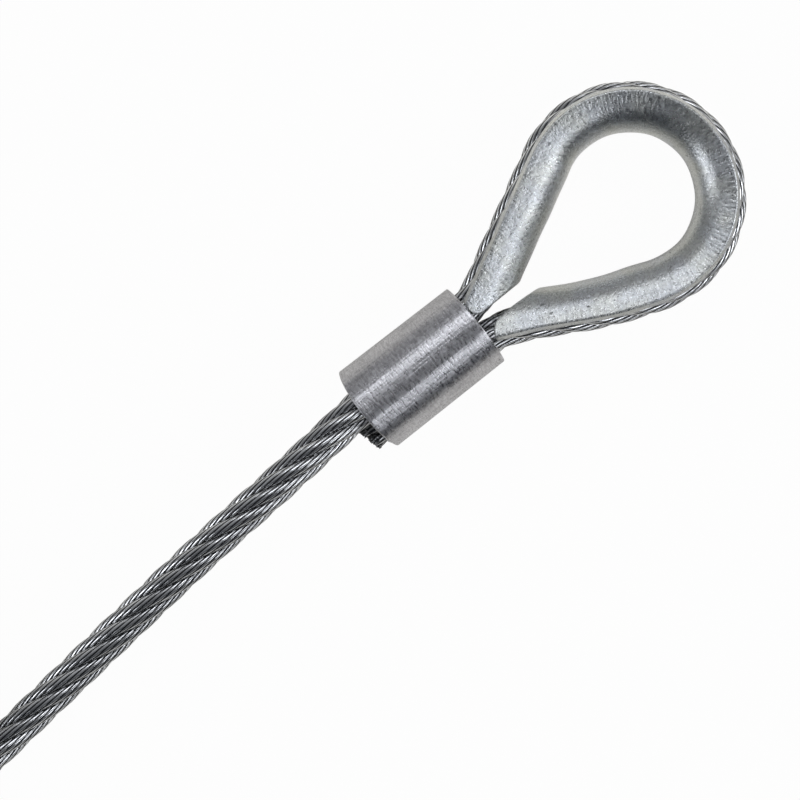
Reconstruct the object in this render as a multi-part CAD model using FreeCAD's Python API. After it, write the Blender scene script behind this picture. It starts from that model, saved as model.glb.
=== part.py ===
"""A thimble eye: the end of a steel wire rope, turned round a thimble and pressed into a ferrule.

Frame, in millimetres: the origin is the centre of the eye's crown, on the eye's middle plane.
+X runs along the eye's axis towards the crown, so the rope leaves towards -X.
+Z is square to the eye's plane, the way a shackle pin goes through it.
The object lies flat: the ferrule and the ties of the coil rest on the plane FLOOR_Z.
"""
import FreeCAD
import Part
import math
import os

V = FreeCAD.Vector
UP = V(0, 0, 1)
CENTRE = V(0, 0, 0)

# ---- Rope: six strands round a core strand, right-hand lay ----
ROPE_DIAMETER = 6.0
STRANDS = 6
LAY_LENGTH = 37.4          # along the rope, for one full turn of a strand
FIRST_STRAND = 20.0        # degrees from the top at which the first strand starts, at the tail
STRAND_CLEARANCE = 0.06    # each strand is this much thinner, so that neighbours don't cut
STATIONS_PER_LAY = 16      # straight pieces of a strand in one lay

# ---- Thimble: a teardrop channel pressed from sheet ----
BORE_RADIUS = 10.9         # inside of the crown, where a pin bears
SHEET = 2.4
GROOVE_CLEARANCE = 0.3     # the groove's radius over the rope's
GROOVE_SEAT = 0.1          # between the rope and the bottom of the groove
FLANGE_PAST = 1.6          # the flanges' edges stand out this far past the rope's centre line
FLANGE_FLARE = 6.0         # degrees by which each flange leans outwards
UPPER_CUT = 0.2            # the +Y leg is trimmed parallel to the axis, this far from it
LOWER_CUT = 1.9            # and the -Y leg this far
UPPER_TIP_GAP = 0.8        # from each leg's tip to the edge of the ferrule's end
LOWER_TIP_GAP = 1.3
UPPER_TIP_RADIUS = 1.6     # of each tip's inner corner
LOWER_TIP_RADIUS = 3.0

# ---- Mouth of the eye, where each leg of the rope turns into the ferrule ----
MOUTH_X = -30.8
MOUTH_BEND = 11.0

# ---- Ferrule: an aluminium sleeve pressed round both runs of the rope ----
FERRULE_OFFSET = -0.4      # it sits this far in Y from the middle of the crown
FERRULE_LENGTH = 22.6      # between the edges of its ends
FERRULE_WALL = 0.87        # beside the tail at the far end, where it is thinnest
NEAR_BULGE = 0.35          # how far the middle of each end stands out
FAR_BULGE = 1.15
FERRULE_EDGE = 0.4
WEB_RADIUS = 1.0           # of the hole between the two bores, which opens them to each other
RUN_CLEARANCE = 0.16       # between the two runs of rope, where they lie side by side
RUN_BEND = 60.0            # of each run, halfway through the ferrule
HALFWAY_TWIST = 25.0       # degrees by which the pair of runs has turned, halfway through the ferrule
FAR_TWIST = 47.6           # and at its far end
HALFWAY_DRIFT = (-0.50, 0.08)  # where the middle of the pair is in Y and Z there, from the ferrule's axis
FAR_DRIFT = (-1.05, 0.15)
TAIL_STICKS_OUT = 2.15     # past the middle of the ferrule's far end
JOINT_DEPTH = 3.0          # the strands end and the free rope starts this far inside the ferrule
PAST = 1.0                 # how far what cuts a piece runs past its faces

# ---- Coil: two layers, each with an outer and an inner turn ----
COIL_MEAN_RADIUS = 32.5
COIL_TURNS = 3.73
TURN_CLEARANCE = 0.05      # between turns
TIE_WIRE = 0.9             # soft wire of the ties, under the coil too
TIE_WIDTH = 4.0
TIE_ANGLES = (50.0, 150.0, 250.0)
SEIZING_WIRE = 0.6
SEIZING_LENGTH = 12.0
END_BEYOND = 1.5           # the cut end stands out of its seizing
END_ROOM = 36.0            # degrees of the upper outer turn left empty past the rope's end
LEAD_ROOM = 43.0           # degrees of the lower outer turn left empty beside the lead

# ---- Free rope: the points of its route, as x, y and how far it is lifted off the floor ----
FIRST_BEND_X = -70.0       # it leaves the ferrule straight, up to here
ROUTE = [(-92.0, -1.70, 6.1), (-116.0, -3.70, 2.0), (-137.0, -5.60, 0.0), (-152.5, -7.05, TIE_WIRE)]
LEAD_LENGTH = 14.0         # the last run, level, from the last point above to the coil's outer turn
LEAD_HEADING = 185.2       # degrees, from +X towards +Y
RUN_SHARE = 0.45           # of the shorter run, which an arc takes up

# ---- Worked out ----
ROPE_RADIUS = ROPE_DIAMETER / 2
GROOVE_RADIUS = ROPE_RADIUS + GROOVE_CLEARANCE
ROPE_LINE_RADIUS = BORE_RADIUS + SHEET + GROOVE_SEAT + ROPE_RADIUS
GROOVE_LINE_RADIUS = BORE_RADIUS + SHEET + GROOVE_RADIUS
FLANGE_RADIUS = ROPE_LINE_RADIUS + FLANGE_PAST
RUN_SPACING = ROPE_DIAMETER + RUN_CLEARANCE


def run_points(x, twist, drift):
    """Where the standing run and the tail cross a plane of the ferrule: a pair, turned by the twist."""
    middle = V(x, FERRULE_OFFSET + drift[0], drift[1])
    apart = V(0, math.cos(math.radians(twist)), math.sin(math.radians(twist))) * (RUN_SPACING / 2)
    return middle + apart, middle - apart


def leg_angle(mouth):
    """The angle between the eye's axis and a leg, whose rope runs from its mouth, tangent to the crown."""
    return (math.asin(ROPE_LINE_RADIUS / math.hypot(mouth.x, mouth.y))
            - math.atan2(abs(mouth.y), -mouth.x))


MOUTH_UPPER, MOUTH_LOWER = run_points(MOUTH_X, 0, (0, 0))
LEG_ANGLES = {1: leg_angle(MOUTH_UPPER), -1: leg_angle(MOUTH_LOWER)}
# The mouth's bends end where the ferrule starts.
FERRULE_NEAR = MOUTH_X - MOUTH_BEND * math.tan(max(LEG_ANGLES.values()) / 2)
FERRULE_FAR = FERRULE_NEAR - FERRULE_LENGTH
FAR_FACE = FERRULE_FAR - FAR_BULGE
STANDING_HALFWAY, TAIL_HALFWAY = run_points((FERRULE_NEAR + FERRULE_FAR) / 2, HALFWAY_TWIST, HALFWAY_DRIFT)
STANDING_OUT, TAIL_OUT = run_points(FAR_FACE, FAR_TWIST, FAR_DRIFT)
FERRULE_RADIUS = math.hypot(TAIL_OUT.y - FERRULE_OFFSET, TAIL_OUT.z) + ROPE_RADIUS + FERRULE_WALL
FLOOR_Z = -FERRULE_RADIUS
TURN_PITCH = ROPE_DIAMETER + TURN_CLEARANCE
LOWER_TURN_Z = FLOOR_Z + TIE_WIRE + ROPE_RADIUS


def strand_sizes():
    """Radius of a strand, and of the circle that the strands' centres lie on: neighbours just touch."""
    strand = ROPE_RADIUS / 3
    for _ in range(20):
        circle = ROPE_RADIUS - strand
        lean = math.atan(2 * math.pi * circle / LAY_LENGTH)
        strand = circle * math.sin(math.pi / STRANDS) * math.cos(lean)
    return strand - STRAND_CLEARANCE, circle


STRAND_RADIUS, STRAND_CIRCLE = strand_sizes()
CORE_RADIUS = STRAND_CIRCLE - STRAND_RADIUS - 2 * STRAND_CLEARANCE


def polar(radius, angle, centre=CENTRE, z=0.0):
    """The point at this radius and angle, in radians, about a centre."""
    return V(centre.x + radius * math.cos(angle), centre.y + radius * math.sin(angle), centre.z + z)


def along(start, end, x):
    """The point of the line from start to end that has this x."""
    return start + (end - start) * ((x - start.x) / (end.x - start.x))


def line(start, end):
    return Part.LineSegment(start, end).toShape()


def corner(before, point, after, radius):
    """The arc that rounds a corner of a route: its start, its middle and its end."""
    back = (before - point).normalize()
    on = (after - point).normalize()
    half_turn = (math.pi - back.getAngle(on)) / 2
    reach = radius * math.tan(half_turn)
    inward = (back + on).normalize()
    middle = point + inward * (radius / math.cos(half_turn) - radius)
    return point + back * reach, middle, point + on * reach


def rounded(points, radii):
    """The edges of a route through points, each inner point rounded by an arc of its radius."""
    edges = []
    at = points[0]
    for before, point, after, radius in zip(points, points[1:], points[2:], radii):
        arc = corner(before, point, after, radius)
        edges += [line(at, arc[0]), Part.Arc(*arc).toShape()]
        at = arc[2]
    return edges + [line(at, points[-1])]


def tube(path, radius):
    """A round solid along a smooth wire."""
    first = path.OrderedEdges[0]
    start = first.valueAt(first.FirstParameter)
    heading = first.tangentAt(first.FirstParameter)
    disc = Part.Face(Part.Wire(Part.makeCircle(radius, start, heading)))
    return path.makePipe(disc)


def ruled_solid(rings):
    """A solid through rings that have the same number of edges: ruled skins, and a flat cap on each end."""
    skins = [Part.makeRuledSurface(*pair)
             for here, there in zip(rings, rings[1:]) for pair in zip(here, there)]
    caps = [Part.Face(Part.Wire(list(ring))) for ring in (rings[0], rings[-1])]
    shell = Part.makeShell(skins + caps)
    shell.sewShape()
    return Part.makeSolid(shell.Shells[0])


def prism(points, z_low, z_high):
    """A solid over a flat outline of points, from one height to another."""
    outline = [V(p.x, p.y, z_low) for p in points]
    return Part.Face(Part.makePolygon(outline + outline[:1])).extrude(V(0, 0, z_high - z_low))


# ---- Thimble ----
def channel_section():
    """The sheet's section at the crown: half a round groove with two flaring flanges, in the XZ plane."""
    flare = math.radians(FLANGE_FLARE)
    points = {}
    for side in (1, -1):
        for name, radius in (("in", GROOVE_RADIUS), ("out", GROOVE_RADIUS + SHEET)):
            foot = V(GROOVE_LINE_RADIUS - radius * math.sin(flare), 0, side * radius * math.cos(flare))
            run = (FLANGE_RADIUS - SHEET / 2 - foot.x) / math.cos(flare)
            points[name, side, "foot"] = foot
            points[name, side, "lip"] = foot + V(math.cos(flare), 0, side * math.sin(flare)) * run
    edges = []
    for name, radius in (("in", GROOVE_RADIUS), ("out", GROOVE_RADIUS + SHEET)):
        bottom = V(GROOVE_LINE_RADIUS - radius, 0, 0)
        edges.append(Part.Arc(points[name, 1, "foot"], bottom, points[name, -1, "foot"]).toShape())
        for side in (1, -1):
            edges.append(line(points[name, side, "foot"], points[name, side, "lip"]))
    for side in (1, -1):
        inner, outer = points["in", side, "lip"], points["out", side, "lip"]
        tip = (inner + outer) / 2 + V(math.cos(flare), 0, side * math.sin(flare)) * (SHEET / 2)
        edges.append(Part.Arc(inner, tip, outer).toShape())
    return Part.Face(Part.Wire(Part.__sortEdges__(edges)))


def leg_trim(side, cut, tip_x, tip_radius):
    """What is left of one leg past the crown: its side of the cut, ending in a round-cornered tip."""
    reach = FLANGE_RADIUS + SHEET
    tall = GROOVE_RADIUS + 2 * SHEET
    keep = prism([V(tip_x, side * cut, 0), V(0, side * cut, 0),
                  V(0, side * reach, 0), V(tip_x, side * reach, 0)], -tall, tall)
    upright = [e for e in keep.Edges
               if abs(e.BoundBox.ZLength - 2 * tall) < 1e-6
               and abs(e.BoundBox.XMin - tip_x) < 1e-6
               and abs(abs(e.BoundBox.YMin) - cut) < 1e-6]
    return keep.makeFillet(tip_radius, upright)


def make_thimble():
    section = channel_section()
    ends = {side: side * (90 + math.degrees(LEG_ANGLES[side])) for side in (1, -1)}
    start = section.copy()
    start.rotate(CENTRE, UP, ends[-1])
    solid = start.revolve(CENTRE, UP, ends[1] - ends[-1])
    for side, cut, gap, tip_radius in ((1, UPPER_CUT, UPPER_TIP_GAP, UPPER_TIP_RADIUS),
                                       (-1, LOWER_CUT, LOWER_TIP_GAP, LOWER_TIP_RADIUS)):
        tip_x = FERRULE_NEAR + gap
        face = section.copy()
        face.rotate(CENTRE, UP, ends[side])
        heading = V(-math.cos(LEG_ANGLES[side]), -side * math.sin(LEG_ANGLES[side]), 0)
        leg = face.extrude(heading * (-2 * tip_x))
        solid = solid.fuse(leg.common(leg_trim(side, cut, tip_x, tip_radius)))
    return solid.removeSplitter()


# ---- Ferrule ----
def end_profile(x, bulge, outwards):
    """One end of the ferrule: a shallow dome out to the shoulder, then a rounded edge to the barrel."""
    shoulder = FERRULE_RADIUS - FERRULE_EDGE
    dome = (shoulder ** 2 + bulge ** 2) / (2 * bulge)
    drop = dome - math.sqrt(dome ** 2 - (shoulder / 2) ** 2)
    rim = FERRULE_EDGE * (1 - math.sqrt(0.5))
    middle = V(x + outwards * bulge, 0, 0)
    corner_start = V(x, shoulder, 0)
    corner_end = V(x - outwards * FERRULE_EDGE, FERRULE_RADIUS, 0)
    halfway = V(middle.x - outwards * drop, shoulder / 2, 0)
    corner_middle = V(x - outwards * rim, FERRULE_RADIUS - rim, 0)
    arcs = [Part.Arc(middle, halfway, corner_start).toShape(),
            Part.Arc(corner_start, corner_middle, corner_end).toShape()]
    return middle, corner_end, arcs


def make_ferrule():
    """A barrel with slightly domed ends, turned about X, less the bore that holds both runs of rope."""
    near_middle, near_edge, near_arcs = end_profile(FERRULE_NEAR, NEAR_BULGE, 1)
    far_middle, far_edge, far_arcs = end_profile(FERRULE_FAR, FAR_BULGE, -1)
    outline = near_arcs + [line(near_edge, far_edge)] + far_arcs + [line(far_middle, near_middle)]
    barrel = Part.Face(Part.Wire(Part.__sortEdges__(outline))).revolve(CENTRE, V(1, 0, 0), 360)
    barrel.translate(V(0, FERRULE_OFFSET, 0))
    for path, size in ferrule_holes():
        barrel = barrel.cut(tube(path, size))
    return barrel


def ferrule_holes():
    """The holes along the two runs of rope and, midway between them, the one that joins the two."""
    first = FERRULE_NEAR + NEAR_BULGE + PAST
    last = FAR_FACE - PAST
    standing, tail = ([along(mouth, halfway, first), halfway, along(halfway, out, last)]
                      for mouth, halfway, out in ((MOUTH_UPPER, STANDING_HALFWAY, STANDING_OUT),
                                                  (MOUTH_LOWER, TAIL_HALFWAY, TAIL_OUT)))
    between = [(a + b) / 2 for a, b in zip(standing, tail)]
    return [(Part.Wire(rounded(points, [RUN_BEND])), size)
            for points, size in ((standing, ROPE_RADIUS), (tail, ROPE_RADIUS), (between, WEB_RADIUS))]


# ---- Held rope ----
def held_route():
    """The rope's centre line from the cut tail, through the ferrule, round the eye and back in."""
    lower = polar(ROPE_LINE_RADIUS, -math.pi / 2 - LEG_ANGLES[-1])
    upper = polar(ROPE_LINE_RADIUS, math.pi / 2 + LEG_ANGLES[1])
    tail_end = along(TAIL_HALFWAY, TAIL_OUT, FAR_FACE - TAIL_STICKS_OUT)
    return Part.Wire(
        rounded([tail_end, TAIL_HALFWAY, MOUTH_LOWER, lower], [RUN_BEND, MOUTH_BEND])
        + [Part.Arc(lower, V(ROPE_LINE_RADIUS, 0, 0), upper).toShape()]
        + rounded([upper, MOUTH_UPPER, STANDING_HALFWAY, rope_joint()], [MOUTH_BEND, RUN_BEND]))


def rope_joint():
    """Where the held rope's strands end and the free rope starts, inside the ferrule's far end."""
    return along(STANDING_HALFWAY, STANDING_OUT, FERRULE_FAR + JOINT_DEPTH)


def make_strand(route, number):
    """One strand: rings square to a helix about the route, with both ends cut square to the rope."""
    count = math.ceil(route.Length / LAY_LENGTH * STATIONS_PER_LAY)
    stations = route.discretize(Number=count + 1)
    step = route.Length / count
    centres, rises, headings = [], [], []
    for i, point in enumerate(stations):
        heading = (stations[min(i + 1, count)] - stations[max(i - 1, 0)]).normalize()
        side = heading.cross(UP).normalize()
        rise = side.cross(heading)
        turn = 2 * math.pi * (i * step / LAY_LENGTH + number / STRANDS) + math.radians(FIRST_STRAND)
        centres.append(point + (rise * math.cos(turn) + side * math.sin(turn)) * STRAND_CIRCLE)
        rises.append(rise)
        headings.append(heading)
    rings = []
    for i, (centre, rise, heading) in enumerate(zip(centres, rises, headings)):
        if 0 < i < count:
            heading = (centres[i + 1] - centres[i - 1]).normalize()
        side = heading.cross(rise).normalize() * STRAND_RADIUS
        rise = side.cross(heading)
        rings.append((Part.Arc(centre + side, centre + rise, centre - side).toShape(),
                      Part.Arc(centre - side, centre - rise, centre + side).toShape()))
    return ruled_solid(rings)


# ---- Free rope ----
def route_point(x, y, lift):
    return V(x, y, FLOOR_Z + ROPE_RADIUS + lift)


def coil_places():
    """The end of the rope's lead, where it joins the coil's outer turn, and the coil's centre."""
    heading = math.radians(LEAD_HEADING)
    start = route_point(*ROUTE[-1])
    entry = polar(LEAD_LENGTH, heading, start)
    centre = polar(COIL_MEAN_RADIUS + TURN_PITCH / 2, heading - math.pi / 2, entry)
    centre.z = 0
    return entry, centre


def free_route():
    """The free rope's line up to the coil: straight runs joined by arcs as large as the runs allow."""
    first = along(STANDING_HALFWAY, STANDING_OUT, FIRST_BEND_X)
    points = [rope_joint(), first] + [route_point(*place) for place in ROUTE] + [coil_places()[0]]
    radii = []
    for before, point, after in zip(points, points[1:], points[2:]):
        turn = (point - before).getAngle(after - point)
        shorter = min((point - before).Length, (after - point).Length)
        radii.append(RUN_SHARE * shorter / math.tan(turn / 2))
        print(f"bend of the free rope: {math.degrees(turn):.1f} degrees, radius {radii[-1]:.0f} mm")
    return Part.Wire(rounded(points, radii))


def turned(section, centre, start, sweep):
    """A flat section in the XZ plane, turned about a coil's axis from an angle, in degrees."""
    face = section.copy()
    face.rotate(CENTRE, UP, start)
    face.translate(centre)
    return face.revolve(centre, UP, sweep)


def bundle_section(grow):
    """The outline of the coil's four turns side by side, grown by this much, as a round-cornered face."""
    low, high = LOWER_TURN_Z, LOWER_TURN_Z + TURN_PITCH
    inner = COIL_MEAN_RADIUS - TURN_PITCH / 2
    outer = inner + TURN_PITCH
    around = ROPE_RADIUS + grow
    diagonal = around * math.sqrt(0.5)
    edges = []
    for x, out in ((inner, -1), (outer, 1)):
        for z, up in ((low, -1), (high, 1)):
            edges.append(Part.Arc(V(x, 0, z + up * around), V(x + out * diagonal, 0, z + up * diagonal),
                                  V(x + out * around, 0, z)).toShape())
        edges.append(line(V(x + out * around, 0, low), V(x + out * around, 0, high)))
    for z, up in ((low, -1), (high, 1)):
        edges.append(line(V(inner, 0, z + up * around), V(outer, 0, z + up * around)))
    return Part.Face(Part.Wire(Part.__sortEdges__(edges)))


def end_places():
    """Where the rope ends: its radius in the coil, its height, its angle, and the angle of a millimetre."""
    radius = COIL_MEAN_RADIUS + TURN_PITCH / 2 + SEIZING_WIRE
    height = LOWER_TURN_Z + TURN_PITCH + SEIZING_WIRE
    return radius, height, LEAD_HEADING + 90 - 360 * COIL_TURNS, math.degrees(1 / radius)


def disc_section(x, z, radius):
    return Part.Face(Part.Wire(Part.makeCircle(radius, V(x, 0, z), V(0, 1, 0))))


def box_section(inner, outer, low, high):
    """A rectangle in the XZ plane."""
    return Part.Face(Part.makePolygon([V(inner, 0, low), V(outer, 0, low), V(outer, 0, high),
                                       V(inner, 0, high), V(inner, 0, low)]))


def lead_section():
    """The quarter of the coil's section that the lower outer turn takes, where the lead comes in instead."""
    return box_section(COIL_MEAN_RADIUS, COIL_MEAN_RADIUS + TURN_PITCH + ROPE_RADIUS,
                       FLOOR_Z, LOWER_TURN_Z + TURN_PITCH / 2)


def make_coil(centre):
    """The outer shape of the wound rope, with its end lying free in a notch, and room for its lead."""
    radius, height, end, per_mm = end_places()
    clear = ROPE_RADIUS + SEIZING_WIRE
    free = (END_BEYOND + SEIZING_LENGTH + ROPE_RADIUS) * per_mm
    slot = box_section(radius - clear, radius + clear, height - clear, height + clear)
    notch = turned(slot, centre, end - END_ROOM, END_ROOM + free)
    loose_end = turned(disc_section(radius, height, ROPE_RADIUS), centre, end, free + ROPE_RADIUS * per_mm)
    ring = turned(bundle_section(0), centre, end - END_ROOM / 2, 360)
    beside = turned(lead_section(), centre, LEAD_HEADING + 90, LEAD_ROOM)
    return ring.cut(notch).cut(beside).fuse(loose_end)


def make_seizing(centre):
    radius, height, end, per_mm = end_places()
    outside = disc_section(radius, height, ROPE_RADIUS + SEIZING_WIRE)
    sleeve = outside.cut(disc_section(radius, height, ROPE_RADIUS)).Faces[0]
    return turned(sleeve, centre, end + END_BEYOND * per_mm, SEIZING_LENGTH * per_mm)


def make_ties(centre):
    """One loop of soft wire round the coil at each angle."""
    loop = bundle_section(TIE_WIRE).cut(bundle_section(0)).Faces[0]
    width = math.degrees(TIE_WIDTH / COIL_MEAN_RADIUS)
    return Part.makeCompound([turned(loop, centre, angle - width / 2, width) for angle in TIE_ANGLES])


def build():
    """Every piece by name."""
    held = held_route()
    free = free_route()
    centre = coil_places()[1]
    pieces = {"thimble": make_thimble(), "ferrule": make_ferrule()}
    pieces["eye_core_strand"] = tube(held, CORE_RADIUS)
    for number in range(STRANDS):
        pieces[f"eye_strand_{number + 1}"] = make_strand(held, number)
    pieces["standing_rope"] = tube(free, ROPE_RADIUS)
    pieces["rope_coil"] = make_coil(centre)
    pieces["end_seizing"] = make_seizing(centre)
    pieces["coil_ties"] = make_ties(centre)
    print(f"held rope {held.Length:.1f} mm, free rope up to the coil {free.Length:.1f} mm")
    share = pieces["standing_rope"].Volume / (math.pi * ROPE_RADIUS ** 2 * free.Length)
    print(f"tube volume over section times length: {share:.4f}")
    return pieces


def main():
    os.makedirs("parts", exist_ok=True)
    for name, shape in build().items():
        if not shape.isValid():
            raise RuntimeError(f"{name} isn't a valid solid")
        shape.exportStep(f"parts/{name}.step")
        print(f"{name}: {len(shape.Solids)} solid(s), {shape.Volume:.1f} cubic mm")


if __name__ == "__main__":
    main()
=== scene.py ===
"""A thimble eye: the end of a steel wire rope, turned round a zinc-plated thimble and pressed into a ferrule.

Everything is in metres in the part's own frame. The origin is the centre of the eye's crown, +X runs
towards the crown, the rope leaves towards -X, and +Z is square to the eye. The part lies flat on a floor.
"""
import math

import bpy
import numpy as np
from bpy.props import FloatProperty, FloatVectorProperty, IntProperty, PointerProperty
from bpy.types import Operator, Panel, PropertyGroup
from mathutils import Matrix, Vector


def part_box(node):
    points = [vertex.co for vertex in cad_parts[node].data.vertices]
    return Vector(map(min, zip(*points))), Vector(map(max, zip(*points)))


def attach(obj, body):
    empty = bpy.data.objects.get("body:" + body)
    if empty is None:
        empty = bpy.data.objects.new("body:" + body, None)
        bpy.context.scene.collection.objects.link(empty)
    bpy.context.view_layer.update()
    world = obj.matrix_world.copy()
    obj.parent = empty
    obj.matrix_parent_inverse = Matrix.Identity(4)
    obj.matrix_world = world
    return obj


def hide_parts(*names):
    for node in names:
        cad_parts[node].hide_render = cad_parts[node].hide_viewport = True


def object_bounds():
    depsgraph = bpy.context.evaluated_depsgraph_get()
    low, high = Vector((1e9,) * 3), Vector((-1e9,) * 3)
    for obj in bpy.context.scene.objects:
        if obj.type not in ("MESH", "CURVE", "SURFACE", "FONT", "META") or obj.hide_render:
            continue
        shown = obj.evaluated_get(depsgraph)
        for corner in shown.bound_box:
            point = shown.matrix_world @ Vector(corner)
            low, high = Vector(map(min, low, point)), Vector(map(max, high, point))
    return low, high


bl_info = {
    "name": "Thimble Eye",
    "version": (1, 0, 0),
    "blender": (4, 5, 0),
    "location": "View3D > Sidebar > Rigging",
    "description": "Builds a wire rope eye with its thimble, ferrule and coiled spare rope",
    "category": "Object",
}

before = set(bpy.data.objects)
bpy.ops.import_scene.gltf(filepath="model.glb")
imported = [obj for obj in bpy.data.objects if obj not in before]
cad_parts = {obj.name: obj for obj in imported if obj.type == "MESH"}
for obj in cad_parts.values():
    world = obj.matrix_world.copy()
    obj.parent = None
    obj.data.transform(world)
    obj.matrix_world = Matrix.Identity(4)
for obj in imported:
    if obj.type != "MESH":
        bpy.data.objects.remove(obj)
CAD_LOW, CAD_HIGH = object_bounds()
THIMBLE_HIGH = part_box("thimble")[1]
FERRULE_LOW, FERRULE_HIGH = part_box("ferrule")
FLOOR_HEIGHT = CAD_LOW[2]
UP = np.array([0.0, 0.0, 1.0])
TURN = 2 * math.pi
# UVs are in millimetres.
MM = 1000

# Control points of the free rope's line, from inside the ferrule to its coil.
ROUTE = [
    (-0.05305, 0.00105, 0.00208),
    (-0.07000, -0.00042, 0.00350),
    (-0.09200, -0.00150, 0.00145),
    (-0.11600, -0.00355, -0.00265),
    (-0.13700, -0.00545, -0.00450),
    (-0.15250, -0.00705, -0.00360),
]
# Where the free rope leaves the ferrule, where the cut tail ends, where the two runs of rope pass the
# ferrule's middle, and where each of them turns from its leg of the eye into the ferrule.
TAIL_END = (-0.05850, -0.00352, -0.00222)
STANDING_MIDDLE = (-0.04475, 0.00189, 0.00138)
TAIL_MIDDLE = (-0.04475, -0.00369, -0.00122)
MOUTH_UPPER = (-0.0308, 0.00268, 0.0)
MOUTH_LOWER = (-0.0308, -0.00348, 0.0)
# Each leg's side of the axis, its mouth corner and the middle of its run in the ferrule.
LEGS = ((-1, MOUTH_LOWER, TAIL_MIDDLE), (1, MOUTH_UPPER, STANDING_MIDDLE))
# Sides of the polygon that the rope's line follows round the crown.
CROWN_SIDES = 11
# From a mouth corner to the line's next points on either side of it.
CORNER_REACH = 0.0052
# Where the coil's ties are, in degrees from +X towards +Y.
TIE_SPOTS = (50.0, 150.0, 250.0)
# Waves of the thimble's sheet: height, radians a metre and start.
SHEET_WAVES = ((0.00003, 900, 0.0), (0.00004, 370, 1.3))


def length(name, default, description):
    """A size in metres."""
    return FloatProperty(name=name, description=description, default=default, unit="LENGTH", precision=5)


def angle(name, degrees, description):
    """An angle, given here in degrees."""
    return FloatProperty(name=name, description=description, default=math.radians(degrees), subtype="ANGLE")


def amount(name, default, description):
    """A plain number or a share."""
    return FloatProperty(name=name, description=description, default=default)


def colour(name, value, description):
    """A metal's colour in linear light."""
    return FloatVectorProperty(name=name, description=description, default=value, size=3,
                               min=0.0, max=1.0, subtype="COLOR")


class RopeSizes(PropertyGroup):
    diameter: length("Diameter", 0.0063, "Across the rope as laid up, a little over its nominal size")
    nominal: length("Nominal diameter", 0.006, "The size the rope is sold as")
    lay: length("Lay length", 0.0380, "Along the rope, for one full turn of a strand")
    wire_lay: length("Wire lay", 0.0134, "Along a strand, for one turn of its outer wires, the other way")
    wires: IntProperty(name="Outer wires", description="In the outer layer of a strand", default=9, min=6)
    wear: amount("Wear", 0.5, "How flat the wires are on top, from 0 for round")
    squeeze: amount("Squeeze", 0.07, "How much wider than high the strands are pressed")
    slack: length("Strand clearance", 0.00003, "How much thinner a strand is than its place in the rope")
    first_strand: angle("First strand", 41.5, "From the top to the eye's first strand, at the cut tail")
    free_strand: angle("Free strand", -3.0, "The same for the free rope, where it leaves the ferrule")
    fine: length("Fine spacing", 0.0008, "Between the rings of a strand, near the eye")
    coarse: length("Coarse spacing", 0.0012, "Between the rings of a strand, in the coil")
    fine_reach: length("Fine reach", 0.125, "How far along the free rope the fine spacing goes")


class ThimbleSizes(PropertyGroup):
    bore: length("Bore radius", 0.0109, "Inside of the crown")
    sheet: length("Sheet", 0.0024, "Thickness of the channel")
    groove: length("Groove radius", 0.0033, "Inside of the channel")
    flange: length("Flange radius", THIMBLE_HIGH[0], "From the crown's centre to the flanges' edges")
    flare: angle("Flare", 15.0, "How far each flange leans outwards")
    rope_line: length("Rope line radius", 0.0164, "From the crown's centre to the rope's centre line")
    upper_cut: length("Upper cut", 0.0004, "From the axis to the trimmed edge of the +Y leg")
    lower_cut: length("Lower cut", 0.0019, "From the axis to the trimmed edge of the -Y leg")
    upper_tip: length("Upper tip", -0.03265, "Where the +Y leg ends, along X")
    lower_tip: length("Lower tip", -0.03215, "Where the -Y leg ends, along X")
    upper_round: length("Upper tip radius", 0.0016, "Of the +Y leg's inner corner")
    lower_round: length("Lower tip radius", 0.0030, "Of the -Y leg's inner corner")
    lip: length("Lip depth", 0.00030, "How deep the flanges' corners are rounded")
    lip_reach: length("Lip reach", 0.00045, "How far from the edge the rounding starts")
    edge: length("Edge break", 0.00025, "How far the cut edges are rounded")
    bow: length("Bow", 0.0008, "How far the -Y leg bows out at its middle")
    bow_middle: length("Bow middle", -0.0145, "Where the -Y leg bows out most, along X")
    bow_reach: length("Bow reach", 0.0125, "From the bow's middle to where it ends, along X")


class FerruleSizes(PropertyGroup):
    radius: length("Radius", (FERRULE_HIGH[2] - FERRULE_LOW[2]) / 2, "Of the barrel")
    offset: length("Offset", (FERRULE_HIGH[1] + FERRULE_LOW[1]) / 2, "From the eye's axis, in Y")
    lean: angle("Lean", 0.65, "How far the barrel turns from the eye's axis")
    taper: length("Taper", 0.00012, "How much more its radius is at the far end")
    ridge: length("Ridge", 0.00045, "Steepness of the ridge that the die left, per radian")
    near: length("Near end", FERRULE_HIGH[0] + 0.00025, "The middle of the end that faces the eye, along X")
    far: length("Far end", FERRULE_LOW[0] - 0.0001, "The middle of the other end, along X")
    near_bulge: length("Near bulge", 0.00040, "How far the top and bottom of the near edge stand out")
    far_bulge: length("Far bulge", 0.00130, "The same at the far edge")
    near_edge: length("Near edge radius", 0.00018, "Where the near end meets the barrel")
    far_edge: length("Far edge radius", 0.00018, "Where the far end meets the barrel")
    web: length("Web radius", 0.0010, "Of the gap between the two runs of rope")
    bore: length("Bore radius", 0.00302, "Of the hole round each run of rope")
    spacing: length("Run spacing", 0.00616, "Between the two runs' centre lines")
    twist: angle("Twist", 47.6, "How far the pair of runs turns along the ferrule")
    far_drift_y: length("Drift in Y", -0.00105, "Of the pair's middle at the far end")
    far_drift_z: length("Drift in Z", 0.00015, "The same in Z")


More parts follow.
